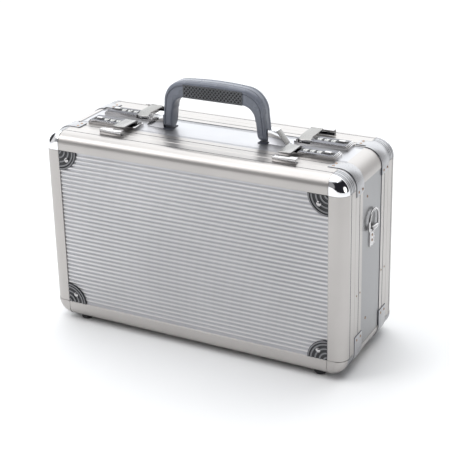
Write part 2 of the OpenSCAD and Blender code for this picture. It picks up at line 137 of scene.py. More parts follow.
def map_range(mat, value, low, high):
    """Spreads a noise over the range from low to high."""
    node = mat.node_tree.nodes.new("ShaderNodeMapRange")
    node.inputs["From Min"].default_value = NOISE_LOW
    node.inputs["From Max"].default_value = NOISE_HIGH
    node.inputs["To Min"].default_value = low
    node.inputs["To Max"].default_value = high
    mat.node_tree.links.new(value, node.inputs["Value"])
    return node.outputs["Result"]


def vary_colour(mat, shader, value, dark, light):
    """Clouds the base colour between a dark and a light tone."""
    ramp = mat.node_tree.nodes.new("ShaderNodeValToRGB")
    ramp.color_ramp.elements[0].position = NOISE_LOW
    ramp.color_ramp.elements[0].color = (*dark, 1.0)
    ramp.color_ramp.elements[1].position = NOISE_HIGH
    ramp.color_ramp.elements[1].color = (*light, 1.0)
    mat.node_tree.links.new(value, ramp.inputs["Fac"])
    mat.node_tree.links.new(ramp.outputs["Color"], shader.inputs["Base Color"])


def bump(mat, shader, value, distance, strength=1.0):
    """Raises the surface by a noise, by a distance in metres."""
    node = mat.node_tree.nodes.new("ShaderNodeBump")
    node.inputs["Strength"].default_value = strength
    node.inputs["Distance"].default_value = distance
    mat.node_tree.links.new(value, node.inputs["Height"])
    mat.node_tree.links.new(node.outputs["Normal"], shader.inputs["Normal"])


def scaled(colour, factor):
    """A lighter or darker colour."""
    return tuple(min(1.0, c * factor) for c in colour)


def metal(name, colour, rough, stretch=EVEN, grain=900.0, depth=2e-6, spread=0.04, tint=0.05):
    """Metal with a fine grain or brushing, cloudy roughness and a slight change of tone."""
    mat, shader = new_material(name, colour, 1.0, rough)
    fine = noise_at(mat, stretch, grain)
    broad = noise_at(mat, EVEN, 9.0)
    roughness = map_range(mat, fine, rough - spread, rough + spread)
    mat.node_tree.links.new(roughness, shader.inputs["Roughness"])
    vary_colour(mat, shader, broad, scaled(colour, 1 - tint), scaled(colour, 1 + tint))
    bump(mat, shader, fine, depth)
    return mat


def moulded(name, colour, rough, grain=1400.0, depth=3e-5, tint=0.12):
    """Moulded plastic or rubber with a fine cast grain."""
    mat, shader = new_material(name, colour, 0.0, rough)
    fine = noise_at(mat, EVEN, grain, 2.0)
    broad = noise_at(mat, EVEN, 40.0)
    mat.node_tree.links.new(map_range(mat, broad, rough - 0.05, rough + 0.05), shader.inputs["Roughness"])
    vary_colour(mat, shader, broad, scaled(colour, 1 - tint), scaled(colour, 1 + tint))
    bump(mat, shader, fine, depth, 0.5)
    return mat


def woven(name, colour):
    """Dark lining cloth: a crossed weave with a soft nap."""
    mat, shader = new_material(name, colour, 0.0, 0.9)
    shader.inputs["Sheen Weight"].default_value = 0.35
    nodes, links = mat.node_tree.nodes, mat.node_tree.links
    coord = nodes.new("ShaderNodeTexCoord")
    threads = []
    for axis in ("X", "Z"):
        wave = nodes.new("ShaderNodeTexWave")
        wave.bands_direction = axis
        wave.inputs["Scale"].default_value = 260.0
        wave.inputs["Distortion"].default_value = 0.6
        links.new(coord.outputs["Object"], wave.inputs["Vector"])
        threads.append(wave.outputs["Fac"])
    cross = nodes.new("ShaderNodeMath")
    cross.operation = "MULTIPLY"
    links.new(threads[0], cross.inputs[0])
    links.new(threads[1], cross.inputs[1])
    bump(mat, shader, cross.outputs["Value"], 2e-4, 0.6)
    vary_colour(mat, shader, noise_at(mat, EVEN, 120.0), scaled(colour, 0.75), scaled(colour, 1.3))
    return mat


MATERIALS = {
    "frame_aluminium": metal("frame_aluminium", (0.475, 0.455, 0.44), 0.36, depth=1.5e-6),
    "corner_chrome": metal("corner_chrome", (0.86, 0.86, 0.87), 0.07, depth=2e-7, spread=0.02, tint=0.02),
    "ribbed_sheet": metal("ribbed_sheet", (0.61, 0.60, 0.60), 0.38, BRUSHED, 1200.0, 4e-6),
    "satin_sheet": metal("satin_sheet", (0.32, 0.32, 0.325), 0.36, EVEN, 1100.0, 2e-6),
    "bright_zinc": metal("bright_zinc", (0.55, 0.54, 0.54), 0.18, EVEN, 500.0, 3e-6, 0.05),
    "hasp_steel": metal("hasp_steel", (0.31, 0.305, 0.295), 0.30, (1, 0.06, 1), 1500.0, 5e-6, 0.06),
    "steel_pin": metal("steel_pin", (0.50, 0.50, 0.50), 0.25, (0.1, 1, 1), 1500.0),
    "pad_plastic": moulded("pad_plastic", (0.022, 0.023, 0.026), 0.40),
    "foot_rubber": moulded("foot_rubber", (0.018, 0.018, 0.019), 0.70),
    "lining": woven("lining", (0.020, 0.021, 0.024)),
    "divider_board": moulded("divider_board", (0.022, 0.022, 0.025), 0.75, 700.0, 1e-4),
    "handle_plastic": moulded("handle_plastic", (0.180, 0.195, 0.235), 0.29),
    "grip_rubber": moulded("grip_rubber", (0.012, 0.012, 0.013), 0.55),
    "dial_plastic": moulded("dial_plastic", (0.72, 0.72, 0.70), 0.30, 900.0, 5e-6, 0.04),
}
# Painted shade: a darker copy of the ribbed sheet's metal for the faces down in its grooves.
RIB_GROOVE_PAINTED_SHADE = metal("rib_groove_painted_shade", (0.465, 0.465, 0.485), 0.42, BRUSHED, 1200.0, 3e-6)
# Painted shade: a dark blue-grey laid in grooves, partings and gaps where shade falls.
SEAM_PAINTED_SHADE = moulded("seam_painted_shade", (0.050, 0.055, 0.075), 0.6, 800.0, 1e-5)
COPPER = metal("coppered_rivet", (0.30, 0.22, 0.17), 0.28)
COLLAR = metal("collar_satin", (0.40, 0.40, 0.41), 0.30, EVEN, 700.0, 2e-6)
SPECKLED = metal("speckled_zinc", (0.15, 0.15, 0.165), 0.42, EVEN, 1500.0, 2e-5, 0.10, 0.25)
# Painted shade: near-black metal for the undersides and edges of small fittings, where shade falls.
EDGE_PAINTED_SHADE = metal("painted_edge_shade", (0.07, 0.07, 0.08), 0.25)
# Painted highlight: a lighter copy of the pad plastic for the ridge tops.
PAD_RIDGE_PAINTED_HIGHLIGHT = moulded("pad_ridge_painted_highlight", (0.20, 0.20, 0.21), 0.35)
# Painted shade: near-black strips for the gaps between the dials and the sides of the slider slots.
GAP_PAINTED_SHADE = moulded("gap_painted_shade", (0.006, 0.006, 0.007), 0.5)
# Painted highlight: a lighter copy of the grip rubber for the lattice's raised faces.
GRIP_RIDGE_PAINTED_HIGHLIGHT = moulded("grip_ridge_painted_highlight", (0.15, 0.155, 0.165), 0.45)
INK = moulded("dial_ink", (0.10, 0.10, 0.11), 0.6, 600.0, 2e-6)
TOP_SHEET = metal("top_sheet", (0.50, 0.50, 0.515), 0.40, BRUSHED, 1200.0, 2.5e-6)


# ---- Mesh helpers ----

BEVELLED = 35.0  # degrees between faces from which an edge is rounded
STILL_SHARP = 50.0  # and from which it is shaded as an edge afterwards

def make_object(name, bm, material, sharp=32.0):
    """Turns a bmesh in millimetres into an object in metres, smooth but for edges over sharp degrees."""
    bmesh.ops.recalc_face_normals(bm, faces=bm.faces)
    bmesh.ops.scale(bm, vec=(MM, MM, MM), verts=bm.verts)
    mesh = bpy.data.meshes.new(name)
    bm.to_mesh(mesh)
    bm.free()
    mesh.shade_smooth()
    mesh.set_sharp_from_angle(angle=math.radians(sharp))
    mesh.materials.append(material)
    obj = bpy.data.objects.new(name, mesh)
    bpy.context.scene.collection.objects.link(obj)
    return obj


def shade_faces(obj, material, chosen):
    """Gives a second material to the faces whose middle (in millimetres) and normal are chosen."""
    obj.data.materials.append(material)
    index = len(obj.data.materials) - 1
    for face in obj.data.polygons:
        if chosen(face.center / MM, face.normal):
            face.material_index = index


def add_loft(bm, rings, closed_path=False):
    """Skins closed rings of points one after the other, with end faces unless the path is closed."""
    rows = [[bm.verts.new(p) for p in ring] for ring in rings]
    pairs = list(zip(rows, rows[1:]))
    if closed_path:
        pairs.append((rows[-1], rows[0]))
    count = len(rows[0])
    for a, b in pairs:
        for i in range(count):
            j = (i + 1) % count
            bm.faces.new((a[i], a[j], b[j], b[i]))
    if not closed_path:
        bm.faces.new(rows[0])
        bm.faces.new(list(reversed(rows[-1])))


def grid_rim(grid):
    """The border of a grid of vertices, in order round it."""
    rim = [column[0] for column in grid] + grid[-1][1:]
    rim += [column[-1] for column in reversed(grid[:-1])] + grid[0][-2:0:-1]
    return rim


def skin_grid(bm, grid):
    """Quads between the vertices of a grid."""
    return [bm.faces.new((a[j], b[j], b[j + 1], a[j + 1]))
            for a, b in zip(grid, grid[1:]) for j in range(len(a) - 1)]


def skin_loops(bm, a, b):
    """Quads between two loops of vertices."""
    for k in range(len(a)):
        m = (k + 1) % len(a)
        bm.faces.new((a[k], a[m], b[m], b[k]))


def add_box(bm, low, high):
    """A block between two opposite corners."""
    verts = bmesh.ops.create_cube(bm, size=1.0)["verts"]
    size = Vector(high) - Vector(low)
    middle = (Vector(high) + Vector(low)) / 2
    for v in verts:
        v.co = Vector((v.co.x * size.x, v.co.y * size.y, v.co.z * size.z)) + middle


def apply_modifiers(obj):
    """Replaces the object's mesh by its evaluated one."""
    graph = bpy.context.evaluated_depsgraph_get()
    mesh = bpy.data.meshes.new_from_object(obj.evaluated_get(graph))
    obj.modifiers.clear()
    old = obj.data
    obj.data = mesh
    bpy.data.meshes.remove(old)


def bevel(obj, width, segments=2):
    """Rounds the edges that turn by more than BEVELLED degrees, by a width in millimetres."""
    mod = obj.modifiers.new("bevel", "BEVEL")
    mod.width = width * MM
    mod.segments = segments
    mod.limit_method = "ANGLE"
    mod.angle_limit = math.radians(BEVELLED)
    mod.harden_normals = False
    apply_modifiers(obj)
    obj.data.shade_smooth()
    obj.data.set_sharp_from_angle(angle=math.radians(STILL_SHARP))


def stand_for(obj, *nodes):
    """The piece rides on its nodes' body and hides them."""
    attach(obj, NODE_BODY[nodes[0]])
    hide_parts(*nodes)
    return obj


def softened(node, width, segments=2, material=None):
    """A copy of a CAD node with rounded edges, standing for that node."""
    bm = bmesh.new()
    bm.from_mesh(frame["nodes"][node].data)
    bmesh.ops.remove_doubles(bm, verts=bm.verts, dist=1e-6)
    bmesh.ops.scale(bm, vec=(1 / MM, 1 / MM, 1 / MM), verts=bm.verts)
    bmesh.ops.dissolve_limit(bm, angle_limit=math.radians(1.0), verts=bm.verts, edges=bm.edges)
    obj = make_object(node + "_finished", bm, material or MATERIALS[NODE_SLOT[node]])
    bevel(obj, width, segments)
    return stand_for(obj, node)


def arc(cx, cy, r, start, end, steps):
    """Points on an arc between two angles in degrees."""
    angles = [math.radians(start + (end - start) * i / steps) for i in range(steps + 1)]
    return [(cx + r * math.cos(a), cy + r * math.sin(a)) for a in angles]


# ---- Lid frame and body rim: one section swept round the panel's rectangle ----

def side_path(side):
    """Two stations (foot point and outward direction) along side 0 top, 1 right, 2 bottom or 3 left."""
    w, h = PANEL_W - SEAM, PANEL_H - SEAM
    return {
        0: [((-w, PANEL_H), (0, 1)), ((w, PANEL_H), (0, 1))],
        1: [((PANEL_W, h), (1, 0)), ((PANEL_W, -h), (1, 0))],
        2: [((w, -PANEL_H), (0, -1)), ((-w, -PANEL_H), (0, -1))],
        3: [((-PANEL_W, -h), (-1, 0)), ((-PANEL_W, h), (-1, 0))],
    }[side]


def corner_path(sx, sz, steps=18):
    """Stations fanning round one corner of the panel's rectangle."""
    return [((sx * PANEL_W, sz * PANEL_H), (sx * math.cos(a), sz * math.sin(a)))
            for a in (math.pi / 2 * i / steps for i in range(steps + 1))]


def ring_path():
    """A closed run of stations round all four corners."""
    stations = []
    for sx, sz in ((1, 1), (-1, 1), (-1, -1), (1, -1)):
        fan = corner_path(sx, sz)
        stations += fan if sx * sz > 0 else fan[::-1]
    return stations


def swept(bm, section, path, face_y, face, closed=False):
    """Sweeps a section of (outward, back) points along stations; face is -1 for front, 1 for rear."""
    rings = [[Vector((foot[0] + out[0] * p, face * (face_y - v), Z_MID + foot[1] + out[1] * p))
              for p, v in section] for foot, out in path]
    add_loft(bm, rings, closed)


def groove(at, depth, width):
    """Outline of a narrow groove in the frame's side, its walls slightly off square."""
    slant = 0.1
    return [(RIM, at), (RIM - depth, at + slant), (RIM - depth, at + width - slant), (RIM, at + width)]


def section_inside(panel_edge):
    """The rear edge and inner side of the lid extrusion and its caps, ending at the panel's edge."""
    back = PANEL_RECESS + PANEL_T
    points = [(RIM, LID_REACH - 0.4), (RIM - 0.4, LID_REACH), (RIM - WALL, LID_REACH), (RIM - WALL, EDGE_R)]
    points += arc(RIM - EDGE_R, EDGE_R, EDGE_R - WALL, 0, -90, 12)[1:]
    return points + [(WALL, WALL), (WALL, back), (panel_edge, back)]


def frame_section():
    """The lid extrusion: a wide rounded front, a flange round the panel and a shallow side groove."""
    outer = arc(NOSE_R, NOSE_R, NOSE_R, 180, 270, 5) + arc(RIM - EDGE_R, EDGE_R, EDGE_R, -90, 0, 22)
    return outer + groove(SIDE_GROOVE, GROOVE_DEPTH, GROOVE_W) + section_inside(0)


def corner_section():
    """The corner cap's section: a ball proud of a collar with fine grooves, closed towards the panel."""
    proud = 0.35
    apart = 0.02  # keeps the stations of a fan from meeting on its axis
    outer = arc(NOSE_R, NOSE_R, NOSE_R, 180, 270, 5)
    outer += [(p, v) for p, v in arc(RIM - EDGE_R, EDGE_R, EDGE_R + proud, -90, 0, 24) if v < CAP_EDGE]
    outer += [(RIM - 0.1, CAP_EDGE + 0.1)]
    for v in COLLAR_LINES:
        outer += groove(v, COLLAR_LINE_DEPTH, COLLAR_LINE_W)
    return [(max(p, apart), max(v, 0.0)) for p, v in outer + section_inside(apart)]


def behind_face(middle):
    """How far a point lies behind the nearer lid's front plane."""
    return HALF_D - abs(middle.y)


def build_lid_frames():
    """Four extrusions and four corner caps round each lid."""
    for name, face in LIDS:
        bm = bmesh.new()
        for side in range(4):
            swept(bm, frame_section(), side_path(side), HALF_D, face)
        bars = make_object(name + "_frame_extrusions", bm, MATERIALS["frame_aluminium"])
        # Painted shade: the side groove's faces take the dark seam material.
        shade_faces(bars, SEAM_PAINTED_SHADE, lambda c, n: SIDE_GROOVE < behind_face(c) < SIDE_GROOVE + GROOVE_W)
        stand_for(bars, name + "_lid_frame")
        for part, sz in (("top_corners", 1), ("bottom_corners", -1)):
            bm = bmesh.new()
            for sx in (-1, 1):
                swept(bm, corner_section(), corner_path(sx, sz), HALF_D, face)
            node = f"{name}_lid_{part}"
            caps = make_object(node + "_caps", bm, MATERIALS[NODE_SLOT[node]])
            shade_faces(caps, COLLAR, lambda c, n: behind_face(c) > CAP_EDGE + 0.05)
            # Painted shade: the collar's grooves take the dark seam material.
            shade_faces(caps, SEAM_PAINTED_SHADE, lambda c, n: any(
                v < behind_face(c) < v + COLLAR_LINE_W for v in COLLAR_LINES))
            stand_for(caps, node)


def band_section():
    """The body's rim extrusion with its closing tongue, outer groove and inner ledge."""
    inner = RIM - SKIN - LEDGE
    tongue_w, tip, shelf = 1.8, 0.5, 7.0
    points = [(RIM, 0.5)] + groove(BAND_GROOVE, GROOVE_DEPTH, GROOVE_W)
    points += [(RIM, BAND_W - 0.3), (RIM - 0.3, BAND_W), (RIM - SKIN, BAND_W)]
    points += [(RIM - SKIN, BAND_W + shelf), (inner, BAND_W + shelf), (inner, -TONGUE + tip)]
    points += [(inner + tip, -TONGUE), (inner + tongue_w - tip, -TONGUE), (inner + tongue_w, -TONGUE + tip)]
    return points + [(inner + tongue_w, 0), (RIM - 0.5, 0)]


def build_body_bands():
    """The rims of the body and the quarter rails that join them at its corners."""
    bm = bmesh.new()
    # Painted shade: depths along the rims, at the lid parting, in the groove and where the rim meets the
    # sheet, at which faces take the dark seam material.
    painted_seam_shadows = (-1.0, BAND_GROOVE, BAND_W - 0.6)
    for face in (-1, 1):
        swept(bm, band_section(), ring_path(), PART_Y, face, closed=True)
    rims = make_object("rim_extrusions", bm, MATERIALS["frame_aluminium"])
    shade_faces(rims, SEAM_PAINTED_SHADE, lambda c, n: any(
        v < PART_Y - abs(c.y) < v + GROOVE_W for v in painted_seam_shadows))
    stand_for(rims, "body_bands")
    bm = bmesh.new()
    reach = PART_Y - BAND_W
    gap = 0.3
    section = [(RIM, gap), (RIM, 2 * reach - gap), (RIM - SKIN, 2 * reach - gap), (RIM - SKIN, gap)]
    for sx in (-1, 1):
        for sz in (-1, 1):
            swept(bm, section, corner_path(sx, sz), reach, -1)
    rails = make_object("quarter_rails", bm, MATERIALS["frame_aluminium"])
    stand_for(rails, "corner_rails")


# ---- Ribbed panels and corner pads ----

def rib_profile():
    """Height and depth of the ribbed face: crowned ribs between narrow rounded grooves."""
    pitch = 2 * PANEL_H / GROOVES
    half_groove = 0.75
    flat = pitch / 2 - half_groove
    left = [(0.0, RIB_CROWN), (-0.25 * flat, RIB_CROWN * 0.8), (-0.5 * flat, RIB_CROWN * 0.2),
            (-flat - 0.6 * half_groove, -0.25), (-flat - half_groove, -RIB_DEPTH)]
    points = []
    for i in range(GROOVES - 1):
        z = -PANEL_H + (i + 1) * pitch
        points += [(z + x, h) for x, h in reversed(left)]
        points += [(z - x, h) for x, h in left[1:-1]]
    points += [(PANEL_H - pitch / 2, -RIB_DEPTH), (PANEL_H, 0.0)]
    return [(-PANEL_H, 0.0)] + points


def build_panels():
    """The ribbed sheet in each lid, with shade painted into its grooves as a darker metal."""
    back = PANEL_RECESS + PANEL_T
    groove_top, groove_floor = PANEL_RECESS + 0.3, PANEL_RECESS + 1.0
    for name, face in LIDS:
        outline = [(z, PANEL_RECESS - h + RIB_CROWN) for z, h in rib_profile()]
        outline += [(PANEL_H, back), (-PANEL_H, back)]
        rings = [[Vector((x, face * (HALF_D - v), Z_MID + z)) for z, v in outline]
                 for x in (-PANEL_W, PANEL_W)]
        bm = bmesh.new()
        add_loft(bm, rings)
        panel = make_object(name + "_ribbed_sheet", bm, MATERIALS["ribbed_sheet"], sharp=60.0)
        # Painted shade: the groove faces take the darker metal.
        shade_faces(panel, RIB_GROOVE_PAINTED_SHADE, lambda c, n: groove_top < behind_face(c) < groove_floor)
        stand_for(panel, name + "_lid_panel")


def pad_profile():
    """Radius and height of a corner pad: rounded ridges inside a plain rim."""
    low, high, ridges = 0.9, 2.0, 4
    points = [(0.3, 0.0), (0.3, low)]
    pitch = (PAD_R - 3.0) / ridges
    for i in range(ridges):
        start = 0.8 + i * pitch
        points += [(start + 0.2 * pitch, low), (start + 0.34 * pitch, high - 0.2)]
        points += [(start + 0.5 * pitch, high), (start + 0.66 * pitch, high - 0.2)]
        points += [(start + 0.8 * pitch, low)]
    points += [(PAD_R - 2.6, low), (PAD_R - 2.2, high - 0.1), (PAD_R - 0.6, high - 0.1)]
    points += [(PAD_R, high - 0.6), (PAD_R, 0.0)]
    return points


def build_pads():
    """A quarter-round ridged pad with a rivet boss in each corner of each panel, a highlight painted on its
    ridge tops.
    """
    boss_at, boss_r, boss_h = 12.0, 3.8, 2.0
    fan_steps, boss_sides = 24, 28
    base = PANEL_RECESS
    ridge_tops = PANEL_RECESS - 1.85
    for name, face in LIDS:
        bm = bmesh.new()
        for sx in (-1, 1):
            for sz in (-1, 1):
                rings = []
                for i in range(fan_steps + 1):
                    a = math.pi / 2 * i / fan_steps
                    rings.append([Vector((sx * (PANEL_W - r * math.cos(a)), face * (HALF_D - base + h),
                                          Z_MID + sz * (PANEL_H - r * math.sin(a))))
                                  for r, h in pad_profile()])
                add_loft(bm, rings)
                middle = Vector((sx * (PANEL_W - boss_at), 0, Z_MID + sz * (PANEL_H - boss_at)))
                turn = [2 * math.pi * k / boss_sides for k in range(boss_sides)]
                rings = [[middle + Vector((r * math.cos(t), face * (HALF_D - base + h), r * math.sin(t)))
                          for t in turn] for r, h in ((boss_r, 0.0), (boss_r, boss_h - 0.4),
                                                      (boss_r - 0.4, boss_h), (0.5, boss_h))]
                add_loft(bm, rings)
        pads = make_object(name + "_corner_pads", bm, MATERIALS["pad_plastic"], sharp=40.0)
        # Painted highlight: the ridge tops take the lighter plastic.
        shade_faces(pads, PAD_RIDGE_PAINTED_HIGHLIGHT, lambda c, n: behind_face(c) < ridge_tops)
        stand_for(pads, name + "_lid_pads")


# ---- Handle ----

def handle_stations():
    """Pairs of outer and inner outline points from the left foot over the top to the right foot."""
    crown_z = HANDLE_TOP - CROWN_R
    narrow = HANDLE_W - FLARE
    shoulder_x = narrow - SHOULDER_R
    shoulder_z = crown_z + math.sqrt((CROWN_R - SHOULDER_R) ** 2 - shoulder_x ** 2)
    lean = math.degrees(math.asin(shoulder_x / (CROWN_R - SHOULDER_R)))
    inner_x = narrow - LEG
    grip_z = HANDLE_TOP - GRIP
    bottom = PIVOT_Z - HANDLE_T
    drops = [bottom + HANDLE_T * (1 - math.cos(math.pi / 2 * i / 8)) for i in range(9)]
    leg = []
    for z in [bottom + 0.02] + drops[1:] + [PIVOT_Z + 6, PIVOT_Z + 14]:
        widen = FLARE * (shoulder_z - z) / (shoulder_z - bottom)
        leg.append(((-narrow - widen, z), (-inner_x - widen, z)))
    corner_out = arc(-shoulder_x, shoulder_z, SHOULDER_R, 180, 90 + lean, 18)
    corner_in = arc(-inner_x + INNER_R, grip_z - INNER_R, INNER_R, 180, 90, 18)
    half = leg + list(zip(corner_out, corner_in))
    steps = 14
    x_out, x_in = corner_out[-1][0], corner_in[-1][0]
    for i in range(1, steps + 1):
        x = x_out * (1 - i / steps)
        z = crown_z + math.sqrt(CROWN_R ** 2 - x * x)
        half.append(((x, z), (x_in * (1 - i / steps), grip_z)))
    mirrored = [((-o[0], o[1]), (-n[0], n[1])) for o, n in reversed(half[:-1])]
    return half + mirrored


def bow_section():
    """Section across the bow: u from the inner edge (0) to the outer edge (1), y across in half widths."""
    inner_face = [(0.0, 0.70), (0.03, 0.86), (0.10, 0.95), (0.18, 0.96)]
    side_groove = [(0.68, 0.96), (0.71, 0.88), (0.745, 0.88), (0.775, 0.99)]
    outer_rim = [(0.80, 1.0), (0.90, 0.97), (0.97, 0.84), (1.0, 0.70)]
    crown_groove = [(1.0, 0.50), (0.96, 0.46), (0.96, 0.38), (1.0, 0.34)]
    side = inner_face + side_groove + outer_rim + crown_groove
    return side + [(u, -y) for u, y in reversed(side)]


def build_handle():
    """The moulded bow, lofted through its stations, its feet rounded about the pivot."""
    bm = bmesh.new()
    rings = []
    for outer, inner in handle_stations():
        half = HANDLE_T
        drop = PIVOT_Z - outer[1]
        if drop > 0:
            half = max(0.6, math.sqrt(max(0.0, HANDLE_T ** 2 - drop ** 2)))
        o, n = Vector((outer[0], 0, outer[1])), Vector((inner[0], 0, inner[1]))
        rings.append([n.lerp(o, u) + Vector((0, half * y, 0)) for u, y in bow_section()])
    add_loft(bm, rings)
    bow = make_object("moulded_bow", bm, MATERIALS["handle_plastic"], sharp=40.0)
    stand_for(bow, "handle_bow")
    build_grips()


def build_grips():
    """Rubber inserts with a raised diamond lattice on both faces of the grip, a highlight painted on the
    lattice.
    """
    low, high = (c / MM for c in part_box("handle_grips"))
    cols, rows = 300, 60
    pitch, slope = 5.0, 0.9
    ridge_from, ridge_flank = 0.62, 0.14
    rise, margin, depth = 0.9, 0.8, 2.4
    bm = bmesh.new()
    for face in (-1, 1):
        grid = []
        for i in range(cols + 1):
            x = low.x + (high.x - low.x) * i / cols
            line = []
            for j in range(rows + 1):
                z = low.z + (high.z - low.z) * j / rows
                near = max(abs((x + k * slope * z) / pitch % 1.0 - 0.5) * 2 for k in (-1, 1))
                edge = min(x - low.x, high.x - x, z - low.z, high.z - z)
                ridge = 1.0 if edge < margin else min(1.0, max(0.0, (near - ridge_from) / ridge_flank))
                line.append(bm.verts.new((x, face * (high.y - rise + rise * ridge), z)))
            grid.append(line)
        for quad in skin_grid(bm, grid):
            height = sum(abs(v.co.y) for v in quad.verts) / 4 - high.y + rise
            # Painted highlight: raised faces take the lighter rubber.
            quad.material_index = 1 if height > 0.45 * rise else 0
        rim = grid_rim(grid)
        back = [bm.verts.new((v.co.x, face * (high.y - depth), v.co.z)) for v in rim]
        skin_loops(bm, rim, back)
        bm.faces.new(back)
    grips = make_object("knurled_inserts", bm, MATERIALS["grip_rubber"], sharp=40.0)
    grips.data.materials.append(GRIP_RIDGE_PAINTED_HIGHLIGHT)
    stand_for(grips, "handle_grips")


# ---- Latches ----

LATCHES = [(f"{lid}_{side}", sx) for lid, _ in LIDS for side, sx in (("left", -1), ("right", 1))]
DIGIT_SIZE = 2.5
DIGIT_RISE = 0.04


def build_dials():
    """Number wheels with a milled rim and the digits 0 to 9."""
    facets, mills = 60, 10
    for latch, sx in LATCHES:
        for index in (1, 2, 3):
            node = f"{latch}_dial_{index}"
            low, high = (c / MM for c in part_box(node))
            middle = (low + high) / 2
            half, radius = (high.x - low.x) / 2, (high.z - low.z) / 2
            bm = bmesh.new()
            rings = []
            for x, r, notch in ((-half, radius - 0.5, 0.0), (-half + 0.3, radius - 0.15, 0.0),
                                (half - 1.5, radius - 0.15, 0.0), (half - 1.4, radius, 0.35),
                                (half - 0.3, radius, 0.35), (half, radius - 0.4, 0.2)):
                ring = []
                for k in range(facets):
                    t = 2 * math.pi * k / facets
                    dip = notch * max(0.0, math.cos(mills * t + math.pi)) ** 2
                    ring.append(middle + Vector((sx * x, (r - dip) * math.cos(t), (r - dip) * math.sin(t))))
                rings.append(ring)
            add_loft(bm, rings)
            wheel = make_object(node + "_wheel", bm, MATERIALS["dial_plastic"], sharp=40.0)
            stand_for(wheel, node)
            plain_side = middle + Vector((-sx * 0.8, 0, 0))
            digits = build_digits(node + "_digits", plain_side, radius - 0.13, index)
            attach(digits, NODE_BODY[node])


def build_digits(name, middle, radius, offset):
    """The ten digits round a wheel, thin raised shapes read from the front of the case."""
    bm = bmesh.new()
    for k in range(10):
        curve = bpy.data.curves.new("digit", "FONT")
        curve.body = str((k + 3 * offset) % 10)
        curve.size = DIGIT_SIZE
        curve.extrude = DIGIT_RISE
        curve.resolution_u = 2
        curve.align_x = "CENTER"
        curve.align_y = "CENTER"
        text = bpy.data.objects.new("digit", curve)
        bpy.context.scene.collection.objects.link(text)
        graph = bpy.context.evaluated_depsgraph_get()
        mesh = bpy.data.meshes.new_from_object(text.evaluated_get(graph))
        turn = Matrix.Rotation(2 * math.pi * (k + 0.5) / 10, 4, "X")
        mesh.transform(Matrix.Translation(middle) @ turn @ Matrix.Translation((0, 0, radius)))
        bm.from_mesh(mesh)
        bpy.data.objects.remove(text)
        bpy.data.curves.remove(curve)
        bpy.data.meshes.remove(mesh)
    return make_object(name, bm, INK, sharp=60.0)


def build_latch_gap_shade():
    """Painted shade: black strips in the gaps between the dials and along both sides of each slider's slot.
    """
    bm = bmesh.new()
    dial_half, strip_half = 3.9, 1.5
    slot_length, slot_shade_near, slot_shade_far = 12.6, 2.4, 4.3
    slot_shade_low, slot_shade_high = BASE_TOP - 1.85, BASE_TOP - 1.2
    for latch, sx in LATCHES:
        lows = [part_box(f"{latch}_dial_{i}")[0] / MM for i in (1, 2, 3)]
        highs = [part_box(f"{latch}_dial_{i}")[1] / MM for i in (1, 2, 3)]
        pitch = abs(lows[1].x - lows[0].x)
        y = (lows[0].y + highs[0].y) / 2
        middle = (lows[1].x + highs[1].x) / 2
        for k in (-1.5, -0.5, 0.5, 1.5):
            x = middle + k * pitch
            add_box(bm, (x - strip_half, y - dial_half, BASE_TOP - 0.5),
                    (x + strip_half, y + dial_half, BASE_TOP + 0.4))
        s_low, s_high = (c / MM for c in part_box(latch + "_slider"))
        x0 = min(sx * s_low.x, sx * s_high.x) - 0.4
        for side in (-1, 1):
            ends = sorted((y + side * slot_shade_near, y + side * slot_shade_far))
            xs = sorted((sx * x0, sx * (x0 + slot_length)))
            add_box(bm, (xs[0], ends[0], slot_shade_low), (xs[1], ends[1], slot_shade_high))
    gap_shade = make_object("latch_gap_painted_shade", bm, GAP_PAINTED_SHADE)
    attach(gap_shade, "case")


def on_top(middle, normal):
    """A flat face looking up at the height of the latch bases."""
    return normal.z > 0.95 and middle.z > BASE_TOP - 0.3


def build_latches():
    """Latch bases, dials, hasps and release sliders."""
    bases = softened("latch_bases", 0.45)
    shade_faces(bases, SPECKLED, on_top)
    shade_faces(bases, MATERIALS["corner_chrome"], lambda c, n: 0.15 < n.z < 0.95 and c.z > BASE_TOP - 0.6)
    build_dials()
    build_latch_gap_shade()
    for latch, _ in LATCHES:
        hasp = softened(latch + "_hasp", 0.35)
        shade_faces(hasp, MATERIALS["bright_zinc"], lambda c, n: abs(n.z) < 0.5)
        # Painted shade: the hasp's underside is near-black.
        shade_faces(hasp, EDGE_PAINTED_SHADE, lambda c, n: n.z < -0.3)
        softened(latch + "_slider", 0.6, 3)


# ---- Linings ----

QUILT_PITCH = 34.0
SEWN, FILLED = 0.45, 0.55  # share of the full height at the seams, and what the filling adds


def quilt(x, z):
    """Height between 0 and 1 of a diamond-quilted pad: steep at the seams, flat on the crown."""
    a = abs(math.sin(math.pi * (x + z) / QUILT_PITCH))
    b = abs(math.sin(math.pi * (x - z) / QUILT_PITCH))
    return (a * b) ** 0.35


def quilted_grid(bm, w, h, y_at):
    """A quilted sheet reaching w and h from its middle, with y given by place and distance to the edge."""
    cols, rows = 120, 68
    grid = []
    for i in range(cols + 1):
        x = -w + 2 * w * i / cols
        column = []
        for j in range(rows + 1):
            z = -h + 2 * h * j / rows
            edge = min(w - abs(x), h - abs(z))
            column.append(bm.verts.new((x, y_at(x, z, edge), Z_MID + z)))
        grid.append(column)
    skin_grid(bm, grid)
    return grid_rim(grid)


